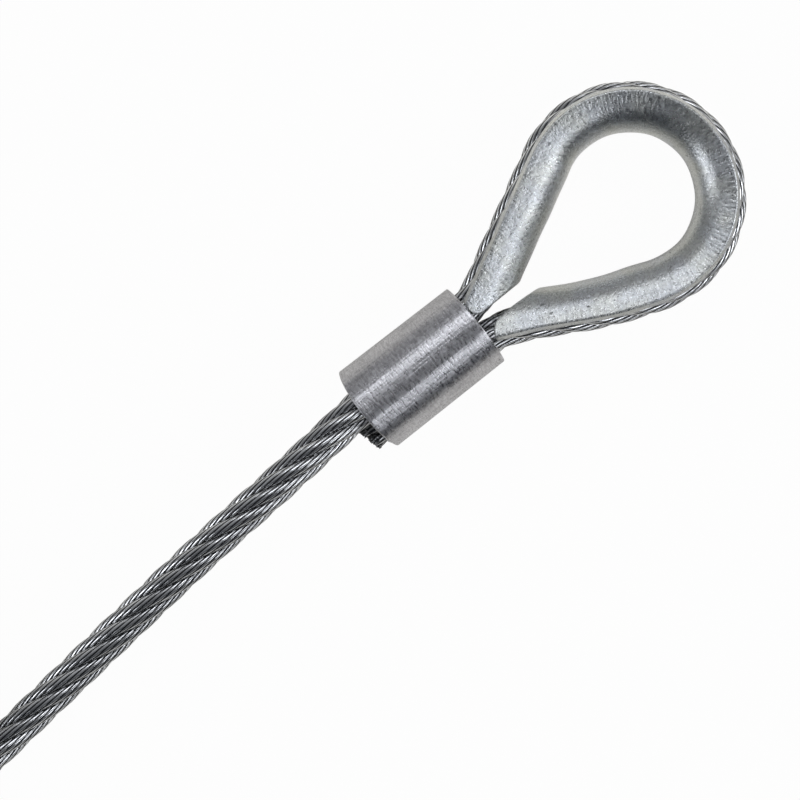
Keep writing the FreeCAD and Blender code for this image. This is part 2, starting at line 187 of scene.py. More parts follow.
class CoilSizes(PropertyGroup):
    centre_x: length("Centre X", -0.16966, "Of the coil")
    centre_y: length("Centre Y", 0.02706, "Of the coil")
    radius: length("Mean radius", 0.0325, "To the middle of the bundle of turns")
    turns: amount("Turns", 3.73, "How often the rope goes round")
    pitch: length("Turn spacing", 0.00630, "Between turns that lie side by side")
    start: angle("Start", 275.2, "Where the rope comes in, from +X towards +Y")
    low: length("Lower turn height", FLOOR_HEIGHT + 0.00405, "Of the lower turns' centre line")
    crossing: amount("Crossing", 0.27, "Share of a turn in which the turns change places")
    lift: length("Lift", 0.0006, "Of the turns where they change places")
    seizing_wire: length("Seizing wire", 0.0006, "Thickness of the wire round the rope's end")
    seizing_length: length("Seizing length", 0.0120, "Along the rope")
    end_beyond: length("End beyond", 0.0015, "How far the cut end stands out of its seizing")
    tie_wire: length("Tie wire", 0.0009, "Thickness of the ties' wire")
    tie_turns: IntProperty(name="Tie turns", description="Turns of wire in each tie", default=4, min=1)


class Finishes(PropertyGroup):
    zinc: colour("Zinc", (0.71, 0.72, 0.69), "The thimble's plating")
    zinc_cool: colour("Cool zinc", (0.67, 0.69, 0.71), "Its bluer patches")
    aluminium: colour("Aluminium", (0.76, 0.75, 0.765), "The ferrule")
    steel: colour("Steel", (0.60, 0.605, 0.61), "Bright crests of the rope's wires")
    # Painted shade in the rope's grooves and inside it, with some grime: the colour that the groove value
    # blends towards.
    groove_shade_and_grime: colour("Shade_and_grime", (0.035, 0.036, 0.038), "Between the rope's wires")
    tie: colour("Tie wire", (0.48, 0.48, 0.47), "Annealed wire of the seizing and ties")


# ---- Meshes ----
def unit(vectors):
    """Each vector over its own length."""
    return vectors / np.linalg.norm(vectors, axis=-1, keepdims=True)


def mesh_object(name, points, faces, uvs=None, shades=None):
    """A smooth mesh from an array of points and a list of face arrays, each with a column for every corner.

    uvs lists an array of corner UVs for each face array, and shades holds named arrays with a value a point.
    """
    mesh = bpy.data.meshes.new(name)
    counts = np.concatenate([np.full(len(f), f.shape[1]) for f in faces])
    starts = np.concatenate([[0], np.cumsum(counts)[:-1]])
    corners = np.concatenate([f.ravel() for f in faces])
    mesh.vertices.add(len(points))
    mesh.vertices.foreach_set("co", np.ascontiguousarray(points, dtype=np.float32).ravel())
    mesh.loops.add(len(corners))
    mesh.loops.foreach_set("vertex_index", corners.astype(np.int32))
    mesh.polygons.add(len(counts))
    mesh.polygons.foreach_set("loop_start", starts.astype(np.int32))
    mesh.update(calc_edges=True)
    mesh.polygons.foreach_set("use_smooth", np.ones(len(counts), dtype=bool))
    if uvs is not None:
        layer = mesh.uv_layers.new(name="along_and_across")
        corner_uvs = np.concatenate([u.reshape(-1, 2) for u in uvs])
        layer.data.foreach_set("uv", corner_uvs.astype(np.float32).ravel())
    for title, values in (shades or {}).items():
        attribute = mesh.attributes.new(title, "FLOAT", "POINT")
        attribute.data.foreach_set("value", values.astype(np.float32).ravel())
    mesh.validate()
    obj = bpy.data.objects.new(name, mesh)
    bpy.context.scene.collection.objects.link(obj)
    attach(obj, "root")
    return obj


def grid_faces(rows, columns, wrap_rows=False):
    """Quads of a grid of closed rows, numbered along each row, and the rows and columns of their corners."""
    i, j = np.meshgrid(np.arange(rows if wrap_rows else rows - 1), np.arange(columns), indexing="ij")
    row = np.stack([i, i, i + 1, i + 1], -1).reshape(-1, 4)
    column = np.stack([j, j + 1, j + 1, j], -1).reshape(-1, 4)
    return (row % rows) * columns + column % columns, row, column


def fan_faces(ring, centre):
    """Triangles from a closed ring of point numbers to one centre point."""
    return np.stack([ring, np.roll(ring, -1), np.full(len(ring), centre)], -1)


def capped_sweep(name, grid, uv_along, uv_across, shades=None):
    """A closed skin through rings of points: quads between rings and a fan on each end.

    grid[i, j] is point j of ring i. Point (i, j) has UV (uv_along[i], uv_across[j]), both in millimetres.
    """
    rings, around = grid.shape[:2]
    points = np.concatenate([grid.reshape(-1, 3), grid[[0, -1]].mean(axis=1)])
    quads, row, column = grid_faces(rings, around)
    start = fan_faces(np.arange(around), rings * around)[:, [1, 0, 2]]
    end = fan_faces(np.arange(around) + (rings - 1) * around, rings * around + 1)
    across = np.append(uv_across, 2 * uv_across[-1] - uv_across[-2])
    quad_uv = np.stack([uv_along[row], across[column]], -1)
    cap_uv = [np.full((around, 3, 2), value) * [1.0, 0.0] for value in (uv_along[0], uv_along[-1])]
    padded = {k: np.append(v.ravel(), [v[0].mean(), v[-1].mean()]) for k, v in (shades or {}).items()}
    return mesh_object(name, points, [quads, start, end], [quad_uv] + cap_uv, padded)


# ---- Lines ----
def smooth_line(points):
    """The points along a smooth line, read from a NURBS spline with the given control points."""
    curve = bpy.data.curves.new("line", "CURVE")
    curve.dimensions = "3D"
    curve.resolution_u = 16
    spline = curve.splines.new("NURBS")
    spline.points.add(len(points) - 1)
    spline.points.foreach_set("co", np.c_[np.array(points), np.ones(len(points))].ravel())
    spline.order_u = 3
    spline.use_endpoint_u = True
    spline.resolution_u = 16
    holder = bpy.data.objects.new("line", curve)
    mesh = bpy.data.meshes.new_from_object(holder)
    line = np.empty(len(mesh.vertices) * 3)
    mesh.vertices.foreach_get("co", line)
    bpy.data.objects.remove(holder)
    bpy.data.curves.remove(curve)
    bpy.data.meshes.remove(mesh)
    return line.reshape(-1, 3)


def run_lengths(line):
    """How far along the line each of its points is."""
    return np.concatenate([[0.0], np.cumsum(np.linalg.norm(np.diff(line, axis=0), axis=1))])


def at_lengths(line, places):
    """The points at these lengths along a line."""
    reach = run_lengths(line)
    return np.stack([np.interp(places, reach, line[:, k]) for k in range(3)], -1)


def even_places(total, spacing):
    """Evenly spaced lengths from nothing to the total, no further apart than the spacing."""
    return np.linspace(0.0, total, max(2, math.ceil(total / spacing) + 1))


def directions(line):
    """Heading, side and rise at each point: along the line, level and square to it, and square to both."""
    heading = unit(np.gradient(line, axis=0))
    side = unit(np.cross(heading, UP))
    return heading, side, np.cross(side, heading)


def arc_corners(start, end, count, radius):
    """Corners of the polygon whose sides touch an arc about the origin at their middles.

    They lie evenly round it, at the arc's radius over the cosine of half their spacing.
    """
    step = (end - start) / count
    angles = start + step * (np.arange(count) + 0.5)
    reach = radius / math.cos(step / 2)
    return np.stack([reach * np.cos(angles), reach * np.sin(angles), np.zeros(count)], -1)


def bowed(points, thimble):
    """The points, with those of the -Y leg moved out.

    They move by the bow times the squared cosine of a quarter turn times their distance along X from the
    bow's middle over its reach.
    """
    away = np.clip((points[..., 0] - thimble.bow_middle) / thimble.bow_reach, -1.0, 1.0)
    moved = points.copy()
    moved[..., 1] -= thimble.bow * np.cos(away * math.pi / 2) ** 2 * (points[..., 1] < 0)
    return moved


def held_line(thimble):
    """The rope's line from the cut tail, round the eye and into the ferrule's far end.

    The crown is an arc; each leg runs straight from where it touches the crown to its mouth corner.
    """
    radius = thimble.rope_line
    touches = [side * (math.pi / 2 + leg_angle(radius, mouth)) for side, mouth, _ in LEGS]
    crown = arc_corners(*touches, CROWN_SIDES, radius)
    beyond = radius * math.tan((touches[1] - touches[0]) / CROWN_SIDES / 2)
    runs = []
    for (side, mouth, middle), touch in zip(LEGS, touches):
        mouth = np.array(mouth)
        out = np.array([math.cos(touch), math.sin(touch), 0.0])
        heading = side * np.cross(UP, out)
        inwards = unit(np.array(middle) - mouth)
        runs.append([radius * out + heading * beyond, mouth - heading * CORNER_REACH, mouth,
                     mouth + inwards * CORNER_REACH])
    tail, standing = runs
    route = [TAIL_END, TAIL_MIDDLE, *tail[::-1], *crown, *standing, STANDING_MIDDLE, ROUTE[0]]
    return bowed(smooth_line(route), thimble)


def leg_angle(radius, mouth):
    """Angle between the eye's axis and the line from a mouth corner that touches a circle about the origin.

    It is the angle whose sine is the radius over the corner's distance, less the corner's own angle.
    """
    return math.asin(radius / math.hypot(mouth[0], mouth[1])) - math.atan2(abs(mouth[1]), -mouth[0])


def coil_turns(coil):
    """Control points of the coil's turns, a sixteenth of a turn apart.

    The turns lie two by two, and go outer low, inner low, inner high, outer high. Where a turn ends, all
    of them change places together: the square that they lie in turns a quarter about its own middle. Near
    its end the rope rides up and out by the seizing's wire, so that the seizing clears the turns beside it.
    """
    per_turn = 16
    ride_start, ride_length = 0.30, 0.20
    turns = np.append((np.arange(round(coil.turns * per_turn)) + 0.5) / per_turn, coil.turns)
    share = np.clip((turns % 1.0 - (1.0 - coil.crossing)) / coil.crossing, 0.0, 1.0)
    eased = share ** 2 * (3 - 2 * share)
    place = -math.pi / 4 - math.pi / 2 * (np.floor(turns) + eased)
    half_diagonal = coil.pitch / math.sqrt(2)
    ride = coil.seizing_wire * np.clip((turns - coil.turns + ride_start) / ride_length, 0.0, 1.0)
    radius = coil.radius + half_diagonal * np.cos(place) + ride
    height = (coil.low + coil.pitch / 2 + half_diagonal * np.sin(place)
              + coil.lift * 4 * share * (1 - share) + ride)
    reach = np.append(radius[:-1] / math.cos(math.pi / per_turn), radius[-1])
    around = coil.start - TURN * turns
    return np.stack([coil.centre_x + reach * np.cos(around),
                     coil.centre_y + reach * np.sin(around), height], -1)


def free_line(coil):
    """The free rope's line from inside the ferrule to its cut end in the coil."""
    return smooth_line(list(ROUTE) + list(coil_turns(coil)))


# ---- Wire rope ----
def strand_sizes(rope):
    """Radius of a strand, and of the circle of the strands' centres, on which neighbours just touch.

    The circle is the rope's radius less a strand's, and a strand's is the circle's times the sine of half
    their spacing times the cosine of their slope. Each is worked out from the other until they settle.
    """
    rounds = 20
    outer = rope.diameter / 2
    strand = outer / 3
    for _ in range(rounds):
        circle = outer - strand
        strand = circle * math.sin(math.pi / 6) * math.cos(math.atan(TURN * circle / rope.lay))
    return strand - rope.slack, circle


def strand_section(radius, rope):
    """The outline of a strand, as complex numbers: for each wire of the outer layer, seven points of its arc.

    The wires touch on a circle, so a wire's radius is the circle's times the sine of half their spacing.
    Wear takes that share of its rise off each arc. Also how deep a point lies between two wires, 0 to 1.
    """
    ring = radius / (1 + math.sin(math.pi / rope.wires))
    wire = radius - ring
    local = np.radians(np.linspace(-84.0, 84.0, 7))
    centre = np.exp(1j * TURN * np.arange(rope.wires) / rope.wires)[:, None]
    rise = np.cos(local) * (1 - rope.wear) + rope.wear
    outline = centre * (ring + wire * (rise + 1j * np.sin(local)))[None, :]
    depth = np.broadcast_to(1 - np.cos(local), outline.shape)
    return outline.ravel(), depth.ravel()


def rope_strand(name, line, places, rope, number, phase, seed, start_shade_and_grime=0.0):
    """One strand of the rope, or its core if it has no number, as a fluted tube.

    Its centre runs on a right-hand helix: the rope's line plus the circle's radius along an arm that
    turns once in a lay. Its wires turn the other way about that centre, so they show nearly in line with
    the rope. Painted shade, with some grime, grows with the depth between the wires and with the cube of
    how far inside the rope a point lies, and near a shaded, grimy start by e to minus the square of the
    distance over its reach.
    """
    tail_shade_reach = 0.003
    radius, circle = strand_sizes(rope)
    centre = at_lengths(line, places)
    heading, side, rise = directions(centre)
    if number is None:
        radius = circle - radius - rope.slack
        arm = rise
    else:
        turn = (TURN * (places / rope.lay + number / 6) + phase)[:, None]
        arm = rise * np.cos(turn) + side * np.sin(turn)
        centre = centre + arm * circle
        heading = unit(np.gradient(centre, axis=0))
        arm = unit(arm - heading * np.sum(arm * heading, axis=1, keepdims=True))
    across = np.cross(heading, arm)
    outline, depth = strand_section(radius, rope)
    reach = run_lengths(centre)
    turned = outline[None, :] * np.exp(-1j * TURN * reach / rope.wire_lay)[:, None]
    wide = 1 + rope.squeeze * (number is not None)
    grid = (centre[:, None] + arm[:, None] * turned.real[..., None]
            + across[:, None] * (turned.imag * wide)[..., None])
    # How far inside the rope a point lies, where the colour gets painted shade.
    inside = np.clip(0.5 - turned.real / (2 * radius), 0.0, 1.0)
    tone = np.repeat(np.random.default_rng(seed).uniform(0.0, 1.0, rope.wires), len(outline) // rope.wires)
    # Painted shade, with some grime, near the start, where the rope shades its cut tail.
    tail_shade_and_grime = start_shade_and_grime * np.exp(-(places / tail_shade_reach) ** 2)[:, None]
    shades = {
        # The groove value paints shade, with some grime, between the wires, inside the rope and near a shaded
        # start.
        "groove": np.clip(depth[None, :] * 0.95 + 0.5 * inside ** 3 + tail_shade_and_grime, 0.0, 1.0),
        "tone": np.broadcast_to(tone, grid.shape[:2]),
    }
    around = np.linspace(0.0, TURN * radius * MM, len(outline), endpoint=False)
    return capped_sweep(name, grid, reach * MM, around, shades)


def wire_stubs(name, roots, headings, radius, lengths, bends, rough):
    """Short cut wires in one mesh: each a tube of five rings that ends in a slanted, pinched cut.

    At a share of its length a stub has gone that share along its heading and the share squared along its
    bend. The last ring is pinched to 0.86 and slants by its roughness times its radius.
    """
    count, sides, rings = len(roots), 8, 5
    # How dark the stubs' sides and cut faces are painted: shade from the rope, with some grime.
    pinched, side_shade_and_grime, cut_shade_and_grime = 0.86, 0.58, 0.50
    share = np.linspace(0.0, 1.0, rings)
    along = share[None, :, None] * lengths[:, None, None]
    centre = roots[:, None] + headings[:, None] * along + bends[:, None] * share[None, :, None] ** 2
    across = unit(np.cross(headings, UP + 1e-3))
    other = np.cross(headings, across)
    angles = TURN * np.arange(sides) / sides
    width = radius[:, None] * np.where(share > 0.99, pinched, 1.0)
    ring = (across[:, None, None] * np.cos(angles)[None, None, :, None]
            + other[:, None, None] * np.sin(angles)[None, None, :, None])
    grid = centre[:, :, None] + ring * width[..., None, None]
    slant = (rough * radius)[:, None] * np.cos(angles)[None, :]
    grid[:, -1] += headings[:, None] * slant[..., None]
    points = np.concatenate([grid.reshape(-1, 3), grid[:, -1].mean(axis=1), grid[:, 0].mean(axis=1)])
    skin = count * rings * sides
    offsets = (np.arange(count) * rings * sides)[:, None, None]
    quads = grid_faces(rings, sides)[0] + offsets
    tops = fan_faces(np.arange(sides) + (rings - 1) * sides, 0) + offsets
    bottoms = fan_faces(np.arange(sides), 0)[:, [1, 0, 2]] + offsets
    tops[..., 2] = skin + np.arange(count)[:, None]
    bottoms[..., 2] = tops[..., 2] + count
    # The groove values paint shade, with some grime, on the stubs' sides and cut faces.
    shades = {
        "groove": np.concatenate([np.full(skin, side_shade_and_grime), np.full(2 * count, cut_shade_and_grime)]),
        "tone": np.random.default_rng(5).uniform(0.2, 0.9, len(points)),
    }
    faces = [f.reshape(-1, f.shape[-1]) for f in (quads, tops, bottoms)]
    return mesh_object(name, points, faces, shades=shades)


def wire_places(rope):
    """Where the wires of a strand lie in it, as complex numbers, and their radii.

    An outer layer lies round an inner layer of thinner wires, turned half a spacing, and one core wire.
    """
    inset, thin, core = 1.55, 0.55, 0.62
    radius = strand_sizes(rope)[0]
    ring = radius / (1 + math.sin(math.pi / rope.wires))
    wire = radius - ring
    spots = np.arange(rope.wires)
    outer = ring * np.exp(1j * TURN * spots / rope.wires)
    inner = (ring - inset * wire) * np.exp(1j * TURN * (spots + 0.5) / rope.wires)
    radii = np.concatenate([np.full(rope.wires, wire), np.full(rope.wires, thin * wire), [core * wire]])
    return np.concatenate([outer, inner, [0.0]]), radii


def cut_end(name, line, rope, phase, at_start, seed, stick_out, splay, slant=0.0):
    """The cut wires at one end of a rope, in each of its seven strands, none quite as long as the next.

    The cut slants: it is longer by the slant times the distance along +Y. A wire's end moves away from the
    rope's line by the splay times the square of a random share, and a little to any side.
    """
    step, root, spread, thinner, stray, shortest = 0.0004, 0.0003, 1.04, 0.97, 0.00006, 0.7
    total = run_lengths(line)[-1]
    places = np.array([0.0, step]) if at_start else np.array([total, total - step])
    centre = at_lengths(line, places)
    outwards = unit(centre[0] - centre[1])
    forwards = -outwards if at_start else outwards
    side = unit(np.cross(forwards, UP))
    rise = np.cross(side, forwards)
    circle = strand_sizes(rope)[1]
    turns = TURN * (places[0] / rope.lay + np.arange(6) / 6) + phase
    arms = rise * np.cos(turns)[:, None] + side * np.sin(turns)[:, None]
    strands = np.concatenate([arms * circle * spread, np.zeros((1, 3))])
    spots, wires = wire_places(rope)
    offsets = rise * spots.real[:, None] + side * spots.imag[:, None]
    roots = (centre[0] + strands[:, None] + offsets[None]).reshape(-1, 3)
    rng = np.random.default_rng(seed)
    count = len(roots)
    from_line = unit(roots - centre[0] + 1e-7 * rise)
    lengths = rng.uniform(shortest, 1.0, count) * stick_out + slant * (roots - centre[0])[:, 1]
    bends = from_line * (rng.uniform(0.0, 1.0, count) ** 2 * splay)[:, None]
    bends += rng.normal(0.0, stray, (count, 3))
    headings = np.broadcast_to(outwards, roots.shape)
    return wire_stubs(name, roots - outwards * root, headings, np.tile(wires, 7) * thinner, lengths + root,
                      bends, rng.uniform(-1.0, 1.0, count))


def wound_wire(name, line, radius):
    """A round wire along a line of points, with rings that don't turn about the line.

    Each ring's first arm is the last one's less its part along the new heading, made one long again.
    """
    sides = 8
    heading = unit(np.gradient(line, axis=0))
    first = np.cross(heading[0], UP if abs(heading[0][2]) < 0.9 else np.array([1.0, 0.0, 0.0]))
    arms = [first / np.linalg.norm(first)]
    for direction in heading[1:]:
        arm = arms[-1] - direction * np.dot(arms[-1], direction)
        arms.append(arm / np.linalg.norm(arm))
    arms = np.array(arms)
    other = np.cross(heading, arms)
    angles = TURN * np.arange(sides) / sides
    grid = (line[:, None] + arms[:, None] * (radius * np.cos(angles))[None, :, None]
            + other[:, None] * (radius * np.sin(angles))[None, :, None])
    shades = {"groove": np.full(grid.shape[:2], 0.1), "tone": np.full(grid.shape[:2], 0.5)}
    around = np.linspace(0.0, TURN * radius * MM, sides, endpoint=False)
    return capped_sweep(name, grid, run_lengths(line) * MM, around, shades)


# ---- Thimble ----
def channel_section(thimble):
    """Middle line of the channel's section and its outward direction and half thickness, from lip to lip.

    It is an arc about the groove's centre, with a straight flank on each end that leans out by the flare.
    Each lip's two corners are quarter ellipses, as wide as the lip's reach and as deep as the lip.
    """
    bend_points, lip_points, flank_points = 45, 8, 5
    half = thimble.sheet / 2
    middle = thimble.groove + half
    groove_line = thimble.bore + thimble.sheet + thimble.groove
    lean, lip, reach = thimble.flare, thimble.lip, thimble.lip_reach
    bend = np.linspace(math.pi / 2 + lean, 3 * math.pi / 2 - lean, bend_points)
    foot_x = groove_line - middle * math.sin(lean)
    run = (thimble.flange - foot_x) / math.cos(lean)
    turn = np.linspace(0.0, math.pi / 2, lip_points)[1:]
    flank = np.linspace(0.0, run - reach, flank_points)[1:]
    out = np.concatenate([flank, run - reach + reach * np.sin(turn)])
    thick = np.concatenate([np.full(len(flank), half), half - lip + lip * np.cos(turn)])
    top = np.stack([foot_x + out * math.cos(lean), middle * math.cos(lean) + out * math.sin(lean)], -1)
    top_normal = np.broadcast_to([-math.sin(lean), math.cos(lean)], top.shape)
    arc_normal = np.stack([np.cos(bend), np.sin(bend)], -1)
    arc = np.array([groove_line, 0.0]) + middle * arc_normal
    line = np.concatenate([top[::-1], arc, top * [1, -1]])
    normal = np.concatenate([top_normal[::-1], arc_normal, top_normal * [1, -1]])
    thickness = np.concatenate([thick[::-1], np.full(len(arc), half), thick])
    return line, normal, thickness


def leg_reach(x, lean, cut, tip, corner):
    """How far each line of a leg runs from the crown until it meets the leg's trimmed outline.

    The line at distance x from the leg's own axis meets the cut, which is parallel to the eye's axis,
    or the square end, or the arc of the corner's radius that joins the two, whichever is nearest.
    """
    to_cut = (x * math.cos(lean) - cut) / math.sin(lean)
    to_tip = (-tip - x * math.sin(lean)) / math.cos(lean)
    reach = np.minimum(to_cut, to_tip)
    start = np.stack([-x * math.sin(lean), x * math.cos(lean)], -1)
    heading = np.array([-math.cos(lean), -math.sin(lean)])
    centre = np.array([tip + corner, cut + corner])
    offset = start - centre
    b = offset @ heading
    inside = b ** 2 - (np.sum(offset ** 2, axis=1) - corner ** 2)
    on_arc = -b + np.sqrt(np.maximum(inside, 0.0))
    spot = start + heading * reach[:, None]
    in_corner = (spot[:, 0] < centre[0]) & (spot[:, 1] < centre[1]) & (inside > 0)
    return np.where(in_corner, on_arc, reach)


def thimble_grid(thimble):
    """Rings of the channel from the -Y leg's tip, round the crown, to the +Y leg's tip.

    A crown point is its section's x along (cos, sin) of its angle and its z up. A leg point starts where the
    crown ends and runs along the leg by a share of that line's own reach. At a tip the section gets thinner
    by a quarter circle of the edge's radius. Also how many points the section has on each of its two sides.
    """
    leg_rows, tip_rows, crown_rows = 40, 5, 180
    line, normal, half = channel_section(thimble)

    def section(inset):
        """The x and z of the section's outline, with its sides moved in by the inset."""
        offset = normal * (half - inset)[:, None]
        return np.concatenate([line + offset, (line - offset)[::-1]]).T

    x, z = section(0.0)
    edge = thimble.edge
    trims = ((thimble.lower_cut, thimble.lower_tip, thimble.lower_round),
             (thimble.upper_cut, thimble.upper_tip, thimble.upper_round))
    legs, touches = [], []
    for (side, mouth, _), trim in zip(LEGS, trims):
        lean = leg_angle(thimble.rope_line, mouth)
        touches.append(side * (math.pi / 2 + lean))
        reach = leg_reach(x, lean, *trim) - edge
        rows = [(x, z, share * reach) for share in np.linspace(0.0, 1.0, leg_rows)]
        for turn in np.linspace(0.0, math.pi / 2, tip_rows)[1:]:
            thin_x, thin_z = section(edge * (1 - math.cos(turn)))
            rows.append((thin_x, thin_z, leg_reach(thin_x, lean, *trim) - edge * (1 - math.sin(turn))))
        across, up, along = np.array(rows).transpose(1, 0, 2)
        legs.append(np.stack([-across * math.sin(lean) - along * math.cos(lean),
                              side * (across * math.cos(lean) - along * math.sin(lean)), up], -1))
    angles = np.linspace(*touches, crown_rows)[1:-1]
    crown = np.stack([np.cos(angles)[:, None] * x, np.sin(angles)[:, None] * x,
                      np.broadcast_to(z, (len(angles), len(z)))], -1)
    return bowed(np.concatenate([legs[0][::-1], crown, legs[1]]), thimble), len(line)


def make_thimble(thimble):
    """The channel's skin with its two cut ends, and how far onto a flange each of its points is.

    The surface waves by a few hundredths of a millimetre: two sines of the length along the channel.
    """
    grid, half_count = thimble_grid(thimble)
    rings, around = grid.shape[:2]
    along = run_lengths(grid[:, half_count // 2])
    waves = sum(size * np.sin(along * rate + start) for size, rate, start in SHEET_WAVES)
    outwards = unit(grid - grid.mean(axis=1, keepdims=True))
    grid = grid + outwards * waves[:, None, None]
    across = run_lengths(grid[rings // 2]) * MM
    across = np.append(across, across[-1] + thimble.sheet * MM)
    quads, row, column = grid_faces(rings, around)
    quad_uv = np.stack([along[row] * MM, across[column]], -1)
    outer = np.arange(half_count)
    inner = around - 1 - outer
    cap = np.stack([outer[:-1], outer[1:], inner[1:], inner[:-1]], -1)
    caps = [cap[:, ::-1], cap + (rings - 1) * around]
    cap_uvs = [np.stack([np.full(cap.shape, along[end] * MM), across[c % around]], -1)
               for c, end in zip(caps, (0, -1))]
    middle, flange_from, rise = (half_count - 1) / 2, 0.55, 0.2
    flange = np.clip((np.abs(np.arange(half_count) - middle) / middle - flange_from) / rise, 0.0, 1.0)
    flange = np.broadcast_to(np.concatenate([flange, flange[::-1]]), (rings, around))
    obj = mesh_object("thimble_channel", grid.reshape(-1, 3), [faces[:, ::-1] for faces in (quads, *caps)],
                      [uvs[:, ::-1] for uvs in (quad_uv, *cap_uvs)], {"flange": flange})
    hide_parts("thimble")
    return obj


# ---- Ferrule ----
def hole_outline(ferrule, share, angles):
    """The edge of the two joined bores at a share of the ferrule's length, in Y and Z.

    Seen from the middle of the pair, a bore's edge at an angle t from the line of centres is at
    a cos t + sqrt(r^2 - a^2 sin^2 t), with a half the spacing; the web's radius is the least.
    """
    twist = ferrule.twist * share
    half = ferrule.spacing / 2
    reach = np.full(len(angles), ferrule.web)
    for turn in (0.0, math.pi):
        away = angles - twist - turn
        root = ferrule.bore ** 2 - (half * np.sin(away)) ** 2
        edge = half * np.cos(away) + np.sqrt(np.maximum(root, 0.0))
        reach = np.where((root > 0) & (np.cos(away) > 0), np.maximum(reach, edge), reach)
    y = ferrule.offset + ferrule.far_drift_y * share + reach * np.cos(angles)
    z = ferrule.far_drift_z * share + reach * np.sin(angles)
    return np.stack([y, z], -1)


def make_ferrule(ferrule):
    """Rings about X: out over the near end, along the barrel, in over the far end and back along the bore.

    The press left the ends' edges standing out at the top and bottom: the end less its bulge times one less
    the sine of the angle to the power 1.3. An edge is a quarter circle, and a face runs level from it to the
    bore, where it is hollow by a share of the bulge and its last ring is sunk a little.
    """
    around_points, barrel_rows, bore_rows = 216, 60, 24
    hollow, sunk, blunt = 0.3, 0.00012, 0.003
    angles = TURN * np.arange(around_points) / around_points
    sag = 1 - (np.sin(angles) ** 2 + blunt) ** 0.65

    def end_rows(middle, bulge, edge, outwards, share):
        """An end's rings from its bore to the barrel; outwards is 1 at the near end and -1 at the far one."""
        hole = hole_outline(ferrule, share, angles)
        edge_x = middle - outwards * bulge * sag
        rim = barrel_ring(ferrule, edge_x, -edge, angles)[:, 1:]
        for part in np.concatenate([[0.0, 0.04], np.linspace(0.12, 1.0, 9)]):
            x = edge_x * part + (middle - outwards * hollow * bulge) * (1 - part)
            yield np.column_stack([x - outwards * sunk * (part == 0.0), hole + (rim - hole) * part])
        for turn in np.linspace(0.0, math.pi / 2, 7)[1:-1]:
            yield barrel_ring(ferrule, edge_x - outwards * edge * (1 - math.cos(turn)),
                              edge * (math.sin(turn) - 1), angles)

    near = list(end_rows(ferrule.near, ferrule.near_bulge, ferrule.near_edge, 1, 0.0))
    far = list(end_rows(ferrule.far, ferrule.far_bulge, ferrule.far_edge, -1, 1.0))
    first = ferrule.near - ferrule.near_bulge * sag - ferrule.near_edge
    last = ferrule.far + ferrule.far_bulge * sag + ferrule.far_edge
    barrel = [barrel_ring(ferrule, first + (last - first) * share, 0.0, angles)
              for share in np.linspace(0.0, 1.0, barrel_rows)]
    bore = []
    for share in np.linspace(1.0, 0.0, bore_rows)[1:-1]:
        x = np.full(len(angles), ferrule.near + (ferrule.far - ferrule.near) * share)
        bore.append(np.column_stack([x, hole_outline(ferrule, share, angles)]))
    grid = np.array(near + barrel + far[::-1] + bore)
    quads, row, column = grid_faces(*grid.shape[:2], wrap_rows=True)
    reach = run_lengths(grid[:, 0]) * MM
    along = np.append(reach, reach[-1] + 1)
    around = np.linspace(0.0, TURN * ferrule.radius * MM, len(angles) + 1)
    uv = np.stack([along[row], around[column]], -1)
    obj = mesh_object("ferrule_sleeve", grid.reshape(-1, 3), [quads[:, ::-1]], [uv[:, ::-1]])
    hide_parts("ferrule")
    return obj


def barrel_ring(ferrule, x, extra, angles):
    """One ring of the barrel. The die left two ridges along it, and the second fades towards the eye.

    A ridge takes its steepness times the angle from it off the radius, and fades within a third of a radian.
    """
    true_at, rise, blunt, width = 0.3, 0.12, 0.0004, 0.33
    share = (ferrule.near - x) / (ferrule.near - ferrule.far)
    out = ferrule.radius + extra + ferrule.taper * (share - true_at)
    for degrees, size in ((103.5, 1.0), (70.0, 1.4 * share)):
        away = angles - math.radians(degrees)
        fall = np.sqrt(away ** 2 + blunt) * np.exp(-(away / width) ** 2)
        out = out + ferrule.ridge * size * (rise - fall)
    middle = (ferrule.near + ferrule.far) / 2
    y = ferrule.offset + math.sin(ferrule.lean) * (middle - x) + out * np.cos(angles)
    return np.column_stack([np.broadcast_to(x, y.shape), y, out * np.sin(angles)])


